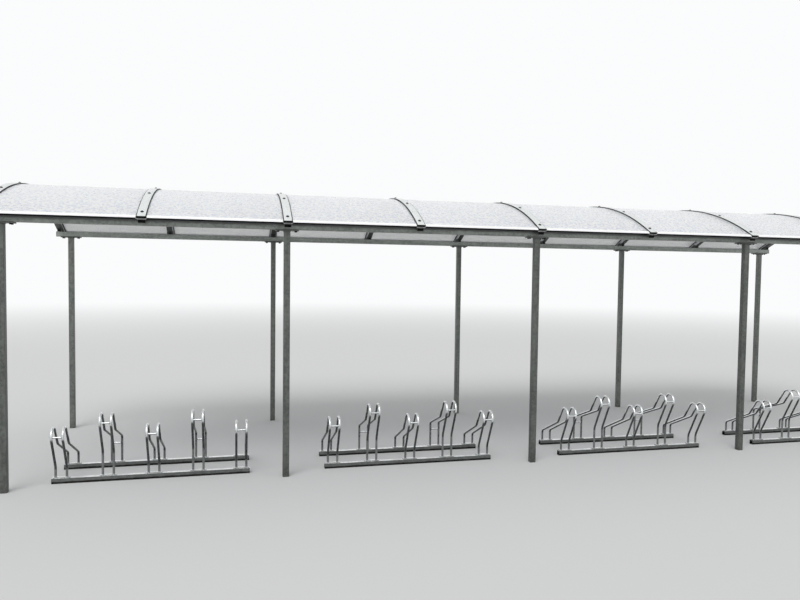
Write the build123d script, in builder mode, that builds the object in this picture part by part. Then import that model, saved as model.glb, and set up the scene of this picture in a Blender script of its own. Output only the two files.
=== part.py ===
from build123d import *
import math
import os

# Bike shelter: two rows of square posts carry a beam each, and arched ribs
# between the beams hold curved opal sheets. The end posts stand a little
# inside the end ribs. A free-standing rack with five wheel places stands in
# each bay. X runs along the row, Y from the open front
# to the back, Z up. The origin is on the ground at the middle of the shelter.

os.makedirs("parts", exist_ok=True)

# Row and posts
bay_count = 4
bay_pitch = 2100
end_post_inset = 104
row_depth = 2120
headroom = 1930
post_side = 50
post_corner = 5
tube_wall = 3

# Head plates and beams
plate_length = 180
plate_width = 90
plate_thickness = 8
plate_corner = 8
bolt_hole = 12
bolt_spacing_x = 136
bolt_spacing_y = 34
beam_width = 50
beam_height = 50
beam_overrun = 25
cap_thickness = 3
cap_depth = 18

# Arched roof
roof_radius = 2330
eave_reach = 1172
sheet_thickness = 10
sheet_gap = 10
rib_width = 50
rib_height = 25
rib_wall = 3
base_width = 60
base_thickness = 10
base_wall = 2
bed_width = 74
bed_thickness = 6
gasket_width = 74
gasket_thickness = 6
strip_width = 60
strip_thickness = 3
strip_overrun = 6
cleat_thickness = 6
cleat_inset = 5
cheek_margin = 5

# Edge profiles and drip seals along the eaves
profile_leg = 20
profile_wall = 2
seal_width = 3
seal_height = 11
seal_drip = 1.5

# Bike racks
places = 5
place_pitch = 329
rack_depth = 390
rack_front_y = -900
rail_side = 40
rail_wall = 2.5
rail_overrun = 27
saddle_length = 118
saddle_width = 36
saddle_thickness = 7
bar_diameter = 18
bar_spacing = 78
brace_diameter = 12
hook_radius = 60
front_lean = 27.5
back_lean = 33
low_shoulder = 125
low_hook_height = 442
low_back_height = 138
low_slope = 24.6
high_shoulder = 232
high_hook_height = 535
high_back_height = 257
high_slope = 20.7
high_brace_height = 197

# Clearances between pieces that rest on one another
fit = 0.3
side_clearance = 0.5

# Levels and places that follow from the sizes above
post_count = bay_count + 1
rib_count = 2 * bay_count + 1
rib_pitch = bay_pitch / 2
row_length = bay_count * bay_pitch
beam_underside = headroom + plate_thickness
beam_top = beam_underside + beam_height
beam_length = row_length + 2 * beam_overrun
beam_y = row_depth / 2
beam_outer_y = beam_y + beam_width / 2
sheet_under_radius = roof_radius - sheet_thickness
base_top_radius = sheet_under_radius - bed_thickness
rib_top_radius = base_top_radius - base_thickness
rib_under_radius = rib_top_radius - rib_height
arch_centre = beam_top + fit - math.sqrt(rib_under_radius**2 - beam_outer_y**2)
eave_angle = math.degrees(math.asin(eave_reach / roof_radius))
post_x = [(i - bay_count / 2) * bay_pitch for i in range(post_count)]
post_x[0] += end_post_inset
post_x[-1] -= end_post_inset
rib_x = [(i - bay_count) * rib_pitch for i in range(rib_count)]
bay_x = [(left + right) / 2 for left, right in zip(post_x, post_x[1:])]


def angle_at(length, radius):
    """Degrees that an arc of this length takes on this radius."""
    return math.degrees(length / radius)


def draw_band(under_radius, top_radius, half_angle):
    """Side view of an arched band, cut square to the arch at both ends."""
    with BuildLine() as outline:
        start = 90 - half_angle
        top = CenterArc((0, arch_centre), top_radius, start, 2 * half_angle)
        under = CenterArc((0, arch_centre), under_radius, start, 2 * half_angle)
        Line(top @ 0, under @ 0)
        Line(top @ 1, under @ 1)
    make_face(outline.edges())


def eave_plane(x, radius, half_angle, side):
    """Plane across the arch at one eave: its X points out along the arch, its
    Y points away from the arch centre. side is -1 at the front, 1 at the back."""
    turn = math.radians(half_angle)
    outward = (0, side * math.cos(turn), -math.sin(turn))
    upward = Vector(0, side * math.sin(turn), math.cos(turn))
    origin = Vector(x, 0, arch_centre) + upward * radius
    return Plane(origin=origin, x_dir=outward, z_dir=Vector(*outward).cross(upward))


def finish(piece, name):
    """Names a finished piece and writes it to its own file."""
    piece.part.label = name
    export_step(piece.part, f"parts/{name}.step")


# Posts of square tube
for row, side in (("front", -1), ("back", 1)):
    for number, x in enumerate(post_x, 1):
        with BuildPart() as post:
            with BuildSketch(Plane((x, side * beam_y, 0))):
                RectangleRounded(post_side, post_side, post_corner)
                inner = post_side - 2 * tube_wall
                RectangleRounded(inner, inner, post_corner - tube_wall, mode=Mode.SUBTRACT)
            extrude(amount=headroom)
        finish(post, f"{row}_post_{number}")

# Head plates on the posts, drilled for the bolts into the beams
with BuildPart() as head_plates:
    post_heads = [Plane((x, side * beam_y, headroom)) for x in post_x for side in (-1, 1)]
    with BuildSketch(*post_heads):
        RectangleRounded(plate_length, plate_width, plate_corner)
        with GridLocations(bolt_spacing_x, bolt_spacing_y, 2, 2):
            Circle(bolt_hole / 2, mode=Mode.SUBTRACT)
    extrude(amount=plate_thickness)
finish(head_plates, "head_plates")

# Eave beams, square tube lying on the head plates
for row, side in (("front", -1), ("back", 1)):
    section = Plane(
        origin=(-beam_length / 2, side * beam_y, beam_underside + beam_height / 2),
        x_dir=(0, 1, 0),
        z_dir=(1, 0, 0),
    )
    with BuildPart() as beam:
        with BuildSketch(section):
            RectangleRounded(beam_width, beam_height, post_corner)
            Rectangle(beam_width - 2 * tube_wall, beam_height - 2 * tube_wall, mode=Mode.SUBTRACT)
        extrude(amount=beam_length)
    finish(beam, f"{row}_beam")

# Caps pushed into the four open ends of the beams
with BuildPart() as beam_end_caps:
    for end in (-1, 1):
        for side in (-1, 1):
            face = Plane(
                origin=(end * beam_length / 2, side * beam_y, beam_underside + beam_height / 2),
                x_dir=(0, 1, 0),
                z_dir=(end, 0, 0),
            )
            with BuildSketch(face):
                RectangleRounded(beam_width, beam_height, post_corner)
            extrude(amount=cap_thickness)
            with BuildSketch(face):
                Rectangle(
                    beam_width - 2 * (tube_wall + fit),
                    beam_height - 2 * (tube_wall + fit),
                )
            extrude(amount=-cap_depth)
finish(beam_end_caps, "beam_end_caps")

# Arched ribs of rectangular tube, open at both ends
rib_half_angle = eave_angle - angle_at(cap_thickness, rib_top_radius)
for number, x in enumerate(rib_x, 1):
    with BuildPart() as rib:
        with BuildSketch(Plane.YZ.offset(x)):
            draw_band(rib_under_radius, rib_top_radius, rib_half_angle)
        extrude(amount=rib_width / 2, both=True)
        with BuildSketch(Plane.YZ.offset(x)):
            draw_band(rib_under_radius + rib_wall, rib_top_radius - rib_wall, rib_half_angle + 1)
        extrude(amount=rib_width / 2 - rib_wall, both=True, mode=Mode.SUBTRACT)
    finish(rib, f"rib_{number}")

# Cleats: two cheeks under each rib end fill the wedge between the flat beam
# and the sloping rib
cheek_offset = rib_width / 2 - cleat_inset - cleat_thickness / 2
cheek_planes = [
    Plane.YZ.offset(x + cheek * cheek_offset) for x in rib_x for cheek in (-1, 1)
]
cheek_radius = rib_under_radius - fit
cheek_inner_y = beam_y - beam_width / 2 + post_corner
cheek_outer_y = beam_y + beam_width / 2 - post_corner - cheek_margin


def cheek_height(y):
    """Height of the rib's underside above this distance from the middle."""
    return arch_centre + math.sqrt(cheek_radius**2 - y**2)


with BuildPart() as rib_cleats:
    for side in (-1, 1):
        with BuildSketch(*cheek_planes):
            with BuildLine():
                outer_top = Vector(side * cheek_outer_y, cheek_height(cheek_outer_y))
                inner_top = Vector(side * cheek_inner_y, cheek_height(cheek_inner_y))
                RadiusArc(outer_top, inner_top, -side * cheek_radius)
                Line(inner_top, (inner_top.X, beam_top))
                Line((inner_top.X, beam_top), (outer_top.X, beam_top))
                Line((outer_top.X, beam_top), outer_top)
            make_face()
        extrude(amount=cleat_thickness / 2, both=True)
finish(rib_cleats, "rib_cleats")

# Plugs that close both ends of every rib
with BuildPart() as rib_end_plugs:
    rib_mid_radius = (rib_under_radius + rib_top_radius) / 2
    for side in (-1, 1):
        mouths = []
        for x in rib_x:
            across = eave_plane(x, rib_mid_radius, rib_half_angle, side)
            mouths.append(Plane(origin=across.origin, x_dir=(1, 0, 0), z_dir=across.x_dir))
        with BuildSketch(*mouths):
            Rectangle(rib_width, rib_height)
        extrude(amount=cap_thickness)
        with BuildSketch(*mouths):
            Rectangle(rib_width - 2 * (rib_wall + fit), rib_height - 2 * (rib_wall + fit))
        extrude(amount=-cap_depth)
finish(rib_end_plugs, "rib_end_plugs")

# Hollow aluminium bases on the ribs, and rubber beds on them under the edges
# of the sheets
with BuildPart() as base_profiles:
    with BuildSketch(*[Plane.YZ.offset(x) for x in rib_x]):
        draw_band(rib_top_radius, base_top_radius, rib_half_angle)
    extrude(amount=base_width / 2, both=True)
    with BuildSketch(*[Plane.YZ.offset(x) for x in rib_x]):
        draw_band(rib_top_radius + base_wall, base_top_radius - base_wall, rib_half_angle + 1)
    extrude(amount=base_width / 2 - base_wall, both=True, mode=Mode.SUBTRACT)
finish(base_profiles, "base_profiles")

with BuildPart() as rib_beds:
    with BuildSketch(*[Plane.YZ.offset(x) for x in rib_x]):
        draw_band(base_top_radius, sheet_under_radius, rib_half_angle)
    extrude(amount=bed_width / 2, both=True)
finish(rib_beds, "rib_beds")

# Curved sheets, one between each pair of ribs, the last ones run to the
# outer edges of the end beds
sheet_half_angle = eave_angle - angle_at(profile_wall + fit, roof_radius)
for number, x in enumerate(rib_x[:-1], 1):
    first = x - bed_width / 2 if number == 1 else x + sheet_gap / 2
    last = x + rib_pitch
    last = last + bed_width / 2 if number == rib_count - 1 else last - sheet_gap / 2
    with BuildPart() as sheet:
        with BuildSketch(Plane.YZ.offset(first)):
            draw_band(sheet_under_radius, roof_radius, sheet_half_angle)
        extrude(amount=last - first)
    finish(sheet, f"roof_sheet_{number}")

# Gaskets and cover strips that clamp the sheets on every rib
gasket_top_radius = roof_radius + gasket_thickness
strip_half_angle = eave_angle + angle_at(strip_overrun, roof_radius)
with BuildPart() as strip_gaskets:
    with BuildSketch(*[Plane.YZ.offset(x) for x in rib_x]):
        draw_band(roof_radius, gasket_top_radius, strip_half_angle)
    extrude(amount=gasket_width / 2, both=True)
finish(strip_gaskets, "strip_gaskets")

with BuildPart() as cover_strips:
    with BuildSketch(*[Plane.YZ.offset(x) for x in rib_x]):
        draw_band(gasket_top_radius, gasket_top_radius + strip_thickness, strip_half_angle)
    extrude(amount=strip_width / 2, both=True)
    long_edges = cover_strips.edges().filter_by(GeomType.CIRCLE).group_by(SortBy.LENGTH)[-1]
    chamfer(long_edges, length=1)
finish(cover_strips, "cover_strips")

# Channel profiles over the free edges of the sheets, with a drip seal on the
# outer face of each that hangs a little below it
profile_length = rib_pitch - gasket_width - 2 * side_clearance
channel_inner = sheet_thickness + 2 * fit
channel_outer = channel_inner + 2 * profile_wall
sheet_mid_radius = roof_radius - sheet_thickness / 2
panel_middles = [x + rib_pitch / 2 for x in rib_x[:-1]]
for row, side in (("front", -1), ("back", 1)):
    ends = [
        eave_plane(x, sheet_mid_radius, sheet_half_angle, side) for x in panel_middles
    ]
    with BuildPart() as edge_profiles:
        with BuildSketch(*ends):
            with Locations((fit + profile_wall, 0)):
                Rectangle(profile_leg, channel_outer, align=(Align.MAX, Align.CENTER))
            with Locations((fit, 0)):
                Rectangle(profile_leg, channel_inner, align=(Align.MAX, Align.CENTER), mode=Mode.SUBTRACT)
        extrude(amount=profile_length / 2, both=True)
    finish(edge_profiles, f"{row}_edge_profiles")

    with BuildPart() as drip_seals:
        with BuildSketch(*ends):
            with Locations((fit + profile_wall, -channel_outer / 2 - seal_drip)):
                Rectangle(seal_width, seal_height, align=(Align.MIN, Align.MIN))
        extrude(amount=profile_length / 2, both=True)
    finish(drip_seals, f"{row}_drip_seals")

# Bike racks
rail_length = (places - 1) * place_pitch + bar_spacing + 2 * rail_overrun
place_offsets = [(i - (places - 1) / 2) * place_pitch for i in range(places)]
bar_foot = rail_side + saddle_thickness


def meet(point_a, angle_a, point_b, angle_b):
    """Point where two lines meet, each given by a point and its direction."""
    ax, ay = math.cos(math.radians(angle_a)), math.sin(math.radians(angle_a))
    bx, by = math.cos(math.radians(angle_b)), math.sin(math.radians(angle_b))
    dx, dy = point_b[0] - point_a[0], point_b[1] - point_a[1]
    along = (dx * by - dy * bx) / (ax * by - ay * bx)
    return (point_a[0] + along * ax, point_a[1] + along * ay)


def hook_centre(shoulder, hook_height):
    """Centre of the hook's bend: tangent to the leaning front leg."""
    height = hook_height - bar_diameter / 2 - hook_radius
    lean = math.radians(front_lean)
    y = (hook_radius - math.sin(lean) * (height - shoulder)) / math.cos(lean)
    return (y, height)


def holder_corners(shoulder, hook_height, back_height, slope):
    """Corners of one bar's path in side view, from the front rail to the
    back rail: leaning front leg, hook, inner leg, slope and rear upright."""
    centre = hook_centre(shoulder, hook_height)
    front_way = 90 + front_lean
    back_way = 90 + back_lean
    crown_way = (front_way + back_way) / 2
    crown = (
        centre[0] + hook_radius * math.cos(math.radians(crown_way)),
        centre[1] + hook_radius * math.sin(math.radians(crown_way)),
    )
    inner_leg = (
        centre[0] + hook_radius * math.cos(math.radians(back_lean)),
        centre[1] + hook_radius * math.sin(math.radians(back_lean)),
    )
    back_top = (rack_depth, back_height)
    return [
        (0, bar_foot),
        (0, shoulder),
        meet((0, shoulder), front_way, crown, crown_way - 90),
        meet(inner_leg, back_way, crown, crown_way - 90),
        meet(inner_leg, back_way, back_top, 180 - slope),
        back_top,
        (rack_depth, bar_foot),
    ]


# Bend radii from front to back: shoulder, two for the hook, slope, rear corner
bend_radii = [90, hook_radius - 2, hook_radius - 2, 50, 32]
low = holder_corners(low_shoulder, low_hook_height, low_back_height, low_slope)
high = holder_corners(high_shoulder, high_hook_height, high_back_height, high_slope)
low_brace = hook_centre(low_shoulder, low_hook_height)
high_brace = hook_centre(high_shoulder, high_hook_height)

for number, x in enumerate(bay_x, 1):
    # Two square rails with a raised saddle under every wheel place
    with BuildPart() as rails:
        for y in (rack_front_y, rack_front_y + rack_depth):
            end = Plane(origin=(x - rail_length / 2, y, rail_side / 2), x_dir=(0, 1, 0), z_dir=(1, 0, 0))
            with BuildSketch(end):
                Rectangle(rail_side, rail_side)
                inner = rail_side - 2 * rail_wall
                Rectangle(inner, inner, mode=Mode.SUBTRACT)
            extrude(amount=rail_length)
            with BuildSketch(Plane((x, y, rail_side))):
                with Locations(*[(offset, 0) for offset in place_offsets]):
                    Rectangle(saddle_length, saddle_width)
            extrude(amount=saddle_thickness)
    finish(rails, f"rack_{number}_rails")

    # Pairs of bent bars, low and high places by turns
    with BuildPart() as holders:
        for place, offset in enumerate(place_offsets):
            corners = low if place % 2 == 0 else high
            for bar in (-1, 1):
                bar_x = x + offset + bar * bar_spacing / 2
                side_view = Plane(origin=(bar_x, rack_front_y, 0), x_dir=(0, 1, 0), z_dir=(1, 0, 0))
                with BuildLine(side_view) as path:
                    FilletPolyline(*corners, radius=bend_radii)
                with BuildSketch(Plane((bar_x, rack_front_y, bar_foot))):
                    Circle(bar_diameter / 2)
                sweep(path=path.line)
    finish(holders, f"rack_{number}_holders")

# Short braces between the two bars of each place
brace_length = bar_spacing - bar_diameter
with BuildPart() as rack_braces:
    for x in bay_x:
        for place, offset in enumerate(place_offsets):
            is_low = place % 2 == 0
            centre = low_brace if is_low else high_brace
            spots = [(centre[0] - hook_radius, centre[1])]
            if not is_low:
                spots.append((rack_depth, high_brace_height))
            left = x + offset - brace_length / 2
            for y, z in spots:
                with BuildSketch(Plane(origin=(left, rack_front_y + y, z), z_dir=(1, 0, 0))):
                    Circle(brace_diameter / 2)
                extrude(amount=brace_length)
finish(rack_braces, "rack_braces")
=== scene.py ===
"""Finishes and fine detail for the bike shelter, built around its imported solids.

The posts, beams, ribs, rails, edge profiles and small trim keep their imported
shapes and get zinc, rubber and aluminium finishes. The roof sheets, the cover
strips and their gaskets, the bent bars and the braces are rebuilt smooth, and
black lips take the place of the drip seals. Sloping noses along the eaves,
gasket ends, screws, bolts and weld beads are added.
"""
import math

import bpy
from mathutils import Matrix, Vector


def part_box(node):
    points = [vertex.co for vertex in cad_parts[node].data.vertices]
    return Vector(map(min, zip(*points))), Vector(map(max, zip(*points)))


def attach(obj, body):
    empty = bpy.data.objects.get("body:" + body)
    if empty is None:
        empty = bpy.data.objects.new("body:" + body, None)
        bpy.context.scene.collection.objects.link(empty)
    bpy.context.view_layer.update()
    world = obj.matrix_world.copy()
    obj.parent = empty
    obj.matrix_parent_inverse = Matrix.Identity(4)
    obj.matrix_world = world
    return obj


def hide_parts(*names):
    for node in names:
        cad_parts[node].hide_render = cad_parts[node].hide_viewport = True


bl_info = {
    "name": "Bike Shelter",
    "version": (1, 0, 0),
    "blender": (4, 5, 0),
    "location": "View3D > Sidebar > Shelter",
    "description": "Finishes, smooth pieces, fasteners, welds and stage for a bike shelter",
    "category": "Object",
}

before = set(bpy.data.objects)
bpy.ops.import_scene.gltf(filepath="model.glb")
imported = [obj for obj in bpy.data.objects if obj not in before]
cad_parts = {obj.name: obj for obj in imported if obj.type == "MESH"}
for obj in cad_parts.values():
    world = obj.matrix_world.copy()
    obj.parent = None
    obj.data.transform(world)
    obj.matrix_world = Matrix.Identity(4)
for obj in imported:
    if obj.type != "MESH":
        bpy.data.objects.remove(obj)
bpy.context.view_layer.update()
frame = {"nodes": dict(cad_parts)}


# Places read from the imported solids


def middle(node):
    """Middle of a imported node's box."""
    low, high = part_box(node)
    return (low + high) / 2


def nodes_like(*starts):
    """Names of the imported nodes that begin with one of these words, in order."""
    return [name for name in sorted(frame["nodes"]) if name.startswith(starts)]


POSTS = nodes_like("front_post_", "back_post_")
RIBS = [name for name in nodes_like("rib_") if name.removeprefix("rib_").isdigit()]
SHEETS = nodes_like("roof_sheet_")
RAILS = [name for name in nodes_like("rack_") if name.endswith("_rails")]
RIB_COUNT = len(RIBS)
FIRST_X = middle(RIBS[0]).x
RIB_PITCH = (middle(RIBS[-1]).x - FIRST_X) / (RIB_COUNT - 1)
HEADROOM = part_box("front_post_1")[1].z
STRIP_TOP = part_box("cover_strips")[1].z


# Settings that a user would change


class RoofSettings(bpy.types.PropertyGroup):
    """Sizes of the arched roof."""

    radius: bpy.props.FloatProperty(
        name="Roof Radius", description="Radius of the top face of the sheets",
        default=2.330, min=1.0, subtype="DISTANCE", unit="LENGTH")
    reach: bpy.props.FloatProperty(
        name="Eave Reach", description="Distance from the middle of the roof to the sheet edges",
        default=1.172, min=0.3, subtype="DISTANCE", unit="LENGTH")
    sheet: bpy.props.FloatProperty(
        name="Sheet Thickness", description="Thickness of the opal sheets",
        default=0.010, min=0.002, subtype="DISTANCE", unit="LENGTH")
    gasket: bpy.props.FloatProperty(
        name="Gasket Thickness", description="Thickness of the rubber under the strips",
        default=0.006, min=0.001, subtype="DISTANCE", unit="LENGTH")
    gasket_width: bpy.props.FloatProperty(
        name="Gasket Width", description="Width of the rubber under the strips",
        default=0.071, min=0.02, subtype="DISTANCE", unit="LENGTH")
    strip_width: bpy.props.FloatProperty(
        name="Strip Width", description="Width of the cover strips",
        default=0.060, min=0.02, subtype="DISTANCE", unit="LENGTH")
    strip: bpy.props.FloatProperty(
        name="Strip Thickness", description="Thickness of the cover strips",
        default=0.003, min=0.001, subtype="DISTANCE", unit="LENGTH")
    overrun: bpy.props.FloatProperty(
        name="Strip Overrun", description="Length that a strip runs past the sheet edges",
        default=0.006, min=0.0, subtype="DISTANCE", unit="LENGTH")
    lip: bpy.props.FloatProperty(
        name="Drip Lip", description="Height of the black lip that hangs below an edge profile",
        default=0.014, min=0.002, subtype="DISTANCE", unit="LENGTH")
    nose: bpy.props.FloatProperty(
        name="Profile Nose", description="Width of the sloping nose of an edge profile",
        default=0.012, min=0.002, subtype="DISTANCE", unit="LENGTH")
    end_lip: bpy.props.FloatProperty(
        name="Gasket End", description="Height of the rubber at the end of a cover strip",
        default=0.012, min=0.002, subtype="DISTANCE", unit="LENGTH")
    screws: bpy.props.IntProperty(
        name="Screws per Strip", description="Number of screws along each cover strip",
        default=6, min=2)
    screw_inset: bpy.props.FloatProperty(
        name="Screw Inset", description="Distance from the end of a strip to its first screw",
        default=0.072, min=0.01, subtype="DISTANCE", unit="LENGTH")
    screw_washer: bpy.props.FloatProperty(
        name="Screw Washer", description="Diameter of the washer under each strip screw",
        default=0.025, min=0.004, subtype="DISTANCE", unit="LENGTH")


class FrameSettings(bpy.types.PropertyGroup):
    """Sizes of bolts and welds on the frame."""

    bolt_x: bpy.props.FloatProperty(
        name="Bolt Spacing Along", description="Spacing of the head plate bolts along the beam",
        default=0.136, min=0.02, subtype="DISTANCE", unit="LENGTH")
    bolt_y: bpy.props.FloatProperty(
        name="Bolt Spacing Across", description="Spacing of the head plate bolts across the beam",
        default=0.034, min=0.01, subtype="DISTANCE", unit="LENGTH")
    bolt: bpy.props.FloatProperty(
        name="Bolt Diameter", description="Diameter of the head plate bolts",
        default=0.010, min=0.004, subtype="DISTANCE", unit="LENGTH")
    bead: bpy.props.FloatProperty(
        name="Weld Bead", description="Width of the weld beads round the posts",
        default=0.007, min=0.001, subtype="DISTANCE", unit="LENGTH")


class RackSettings(bpy.types.PropertyGroup):
    """Sizes of the racks: their places, bent bars, braces, saddles and welds."""

    places: bpy.props.IntProperty(
        name="Wheel Places", description="Number of wheel places in a rack, low and high by turns",
        default=5, min=2)
    pitch: bpy.props.FloatProperty(
        name="Place Pitch", description="Distance between two wheel places",
        default=0.329, min=0.1, subtype="DISTANCE", unit="LENGTH")
    depth: bpy.props.FloatProperty(
        name="Rack Depth", description="Distance between the two rails",
        default=0.390, min=0.1, subtype="DISTANCE", unit="LENGTH")
    spacing: bpy.props.FloatProperty(
        name="Bar Spacing", description="Distance between the two bars of a place",
        default=0.078, min=0.03, subtype="DISTANCE", unit="LENGTH")
    bar: bpy.props.FloatProperty(
        name="Bar Diameter", description="Diameter of the bent bars",
        default=0.018, min=0.005, subtype="DISTANCE", unit="LENGTH")
    brace: bpy.props.FloatProperty(
        name="Brace Diameter", description="Diameter of the braces between two bars",
        default=0.012, min=0.004, subtype="DISTANCE", unit="LENGTH")
    saddle_length: bpy.props.FloatProperty(
        name="Saddle Length", description="Length of the plate under each wheel place",
        default=0.118, min=0.02, subtype="DISTANCE", unit="LENGTH")
    saddle_width: bpy.props.FloatProperty(
        name="Saddle Width", description="Width of the plate under each wheel place",
        default=0.036, min=0.01, subtype="DISTANCE", unit="LENGTH")
    saddle_rise: bpy.props.FloatProperty(
        name="Saddle Thickness", description="Height from the rail to the top of that plate",
        default=0.007, min=0.001, subtype="DISTANCE", unit="LENGTH")
    saddle_bead: bpy.props.FloatProperty(
        name="Saddle Weld", description="Width of the weld beads round those plates",
        default=0.007, min=0.001, subtype="DISTANCE", unit="LENGTH")
    hook: bpy.props.FloatProperty(
        name="Hook Radius", description="Radius of the hook that holds the wheel",
        default=0.060, min=0.02, subtype="DISTANCE", unit="LENGTH")
    front_lean: bpy.props.FloatProperty(
        name="Front Lean", description="Lean of the front leg towards the wheel",
        default=math.radians(27.5), subtype="ANGLE", unit="ROTATION")
    back_lean: bpy.props.FloatProperty(
        name="Back Lean", description="Lean of the inner leg",
        default=math.radians(33), subtype="ANGLE", unit="ROTATION")
    low_hook: bpy.props.FloatProperty(
        name="Low Hook", description="Height of the top of the low hooks",
        default=0.442, min=0.2, subtype="DISTANCE", unit="LENGTH")
    low_shoulder: bpy.props.FloatProperty(
        name="Low Shoulder", description="Height at which the front leg of a low bar starts to lean",
        default=0.125, min=0.02, subtype="DISTANCE", unit="LENGTH")
    low_back: bpy.props.FloatProperty(
        name="Low Back Bend", description="Height at which a low bar bends down to the back rail",
        default=0.138, min=0.02, subtype="DISTANCE", unit="LENGTH")
    low_slope: bpy.props.FloatProperty(
        name="Low Slope", description="Slope of a low bar down to its back bend",
        default=math.radians(24.6), subtype="ANGLE", unit="ROTATION")
    high_hook: bpy.props.FloatProperty(
        name="High Hook", description="Height of the top of the high hooks",
        default=0.535, min=0.2, subtype="DISTANCE", unit="LENGTH")
    high_shoulder: bpy.props.FloatProperty(
        name="High Shoulder", description="Height at which the front leg of a high bar starts to lean",
        default=0.232, min=0.02, subtype="DISTANCE", unit="LENGTH")
    high_back: bpy.props.FloatProperty(
        name="High Back Bend", description="Height at which a high bar bends down to the back rail",
        default=0.257, min=0.02, subtype="DISTANCE", unit="LENGTH")
    high_slope: bpy.props.FloatProperty(
        name="High Slope", description="Slope of a high bar down to its back bend",
        default=math.radians(20.7), subtype="ANGLE", unit="ROTATION")
    back_brace: bpy.props.FloatProperty(
        name="Back Brace", description="Height of the brace at the back of a high place",
        default=0.197, min=0.02, subtype="DISTANCE", unit="LENGTH")
    weld: bpy.props.FloatProperty(
        name="Weld Bead", description="Width of the weld beads at the bar feet",
        default=0.005, min=0.001, subtype="DISTANCE", unit="LENGTH")


class FinishSettings(bpy.types.PropertyGroup):
    """Colours of the finishes."""

    zinc_pale: bpy.props.FloatVectorProperty(
        name="Weathered Zinc, Pale", description="Pale tone of the frame's zinc",
        default=(0.172, 0.184, 0.172), min=0, max=1, size=3, subtype="COLOR")
    zinc_dark: bpy.props.FloatVectorProperty(
        name="Weathered Zinc, Dark", description="Dark tone of the frame's zinc",
        default=(0.087, 0.094, 0.088), min=0, max=1, size=3, subtype="COLOR")
    # Painted shade, laid on the top of the front beam under the eave and on the low rib ends out past the
    # beams.
    zinc_painted_shade: bpy.props.FloatVectorProperty(
        name="Shaded Zinc", description="Tone of the zinc close under the roof",
        default=(0.118, 0.122, 0.119), min=0, max=1, size=3, subtype="COLOR")
    # Painted light: the ribs' side faces are painted near white as lit faces, against darker bottoms.
    rib_side_painted_light: bpy.props.FloatVectorProperty(
        name="Rib Sides", description="Tone of the side faces of the ribs",
        default=(0.970, 0.985, 0.985), min=0, max=1, size=3, subtype="COLOR")
    rail: bpy.props.FloatVectorProperty(
        name="Wet Rails", description="Tone of the sides of the racks' rails",
        default=(0.225, 0.240, 0.236), min=0, max=1, size=3, subtype="COLOR")
    # Painted light: the top faces of the rails are painted near white, as a painted reflection of the sky.
    rail_top_painted_light: bpy.props.FloatVectorProperty(
        name="Wet Rail Tops", description="Tone of the top faces of the racks' rails",
        default=(0.960, 0.980, 0.980), min=0, max=1, size=3, subtype="COLOR")
    # Painted shadow: a dark line along the foot of the rails, where they meet the floor.
    rail_foot_painted_shadow: bpy.props.FloatVectorProperty(
        name="Wet Rail Feet", description="Tone along the foot of the racks' rails",
        default=(0.012, 0.013, 0.012), min=0, max=1, size=3, subtype="COLOR")
    # Painted light on the bars and braces: their sides keep this dark tone, and the faces that look up
    # take the pale tone below.
    bar: bpy.props.FloatVectorProperty(
        name="Wet Bars", description="Tone of the sides of the racks' bars",
        default=(0.122, 0.129, 0.131), min=0, max=1, size=3, subtype="COLOR")
    # Painted reflection: the pale tone on the wet zinc faces that look up, standing in for the sky they
    # mirror.
    sky: bpy.props.FloatVectorProperty(
        name="Wet Zinc, Upper Side", description="Tone of wet zinc on the faces that look up",
        default=(0.850, 0.880, 0.880), min=0, max=1, size=3, subtype="COLOR")
    opal: bpy.props.FloatVectorProperty(
        name="Opal Sheet", description="Colour of the roof sheets",
        default=(0.880, 0.930, 1.000), min=0, max=1, size=3, subtype="COLOR")
    base: bpy.props.FloatVectorProperty(
        name="Base Profiles", description="Colour of the aluminium bases under the sheets",
        default=(0.950, 0.965, 0.965), min=0, max=1, size=3, subtype="COLOR")
    strip: bpy.props.FloatVectorProperty(
        name="Cover Strips", description="Colour of the aluminium strips",
        default=(0.730, 0.760, 0.755), min=0, max=1, size=3, subtype="COLOR")
    profile: bpy.props.FloatVectorProperty(
        name="Edge Profiles", description="Colour of the profiles along the eaves",
        default=(0.970, 0.980, 0.985), min=0, max=1, size=3, subtype="COLOR")
    rubber: bpy.props.FloatVectorProperty(
        name="Rubber", description="Colour of gaskets, beds and seals",
        default=(0.004, 0.004, 0.005), min=0, max=1, size=3, subtype="COLOR")
    plastic: bpy.props.FloatVectorProperty(
        name="Plugs", description="Colour of the plugs and caps",
        default=(0.003, 0.003, 0.003), min=0, max=1, size=3, subtype="COLOR")
    bolt: bpy.props.FloatVectorProperty(
        name="Bolts", description="Colour of the dark bolts and screws",
        default=(0.008, 0.008, 0.009), min=0, max=1, size=3, subtype="COLOR")


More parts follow.
